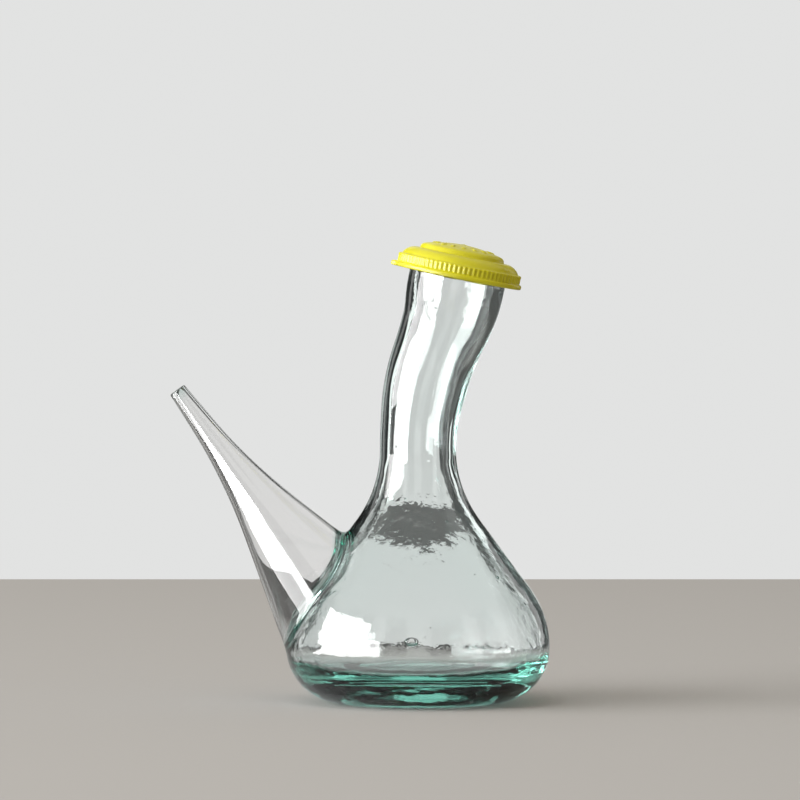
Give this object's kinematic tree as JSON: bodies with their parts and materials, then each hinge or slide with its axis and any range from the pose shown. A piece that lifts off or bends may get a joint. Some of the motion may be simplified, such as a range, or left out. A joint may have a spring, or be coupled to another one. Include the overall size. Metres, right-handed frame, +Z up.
{
  "type": "glass oil bottle",
  "caption": "Round glass oil bottle with a leaning, gently S-bent neck, a tapered pouring spout fused to its flank, and a press-on plastic cap that pulls off along the neck.",
  "frame": {"origin": "centre of the foot ring, on the plane the bottle stands on", "axes": "+Z up along the vessel's axis, -X towards the pouring spout, +X the way the neck leans, XZ the plane of symmetry"},
  "size_m": [0.1368, 0.095, 0.166],
  "materials": {
    "bottle_glass": "glossy recycled glass, nearly clear where thin and teal green in the thick foot, with fine ripples and a few seed bubbles",
    "spout_glass": "glossy clear drawn glass, thin walled, greener at the tip's edge",
    "seam_glass": "glossy fused seam of thicker teal green glass",
    "cap_plastic": "bright yellow soft polyethylene with a satin gloss and fine moulding marks"
  },
  "bodies": {
    "bottle": {"bottle_body": "bottle_glass", "pouring_spout": "spout_glass", "spout_seam": "seam_glass"},
    "cap": {"cap": "cap_plastic"}
  },
  "joints": [
    {"name": "cap_lift", "type": "slide", "parent": "bottle", "child": "cap", "axis": [0.1994, 0, 0.9799], "range_m": [0, 0.04]}
  ]
}
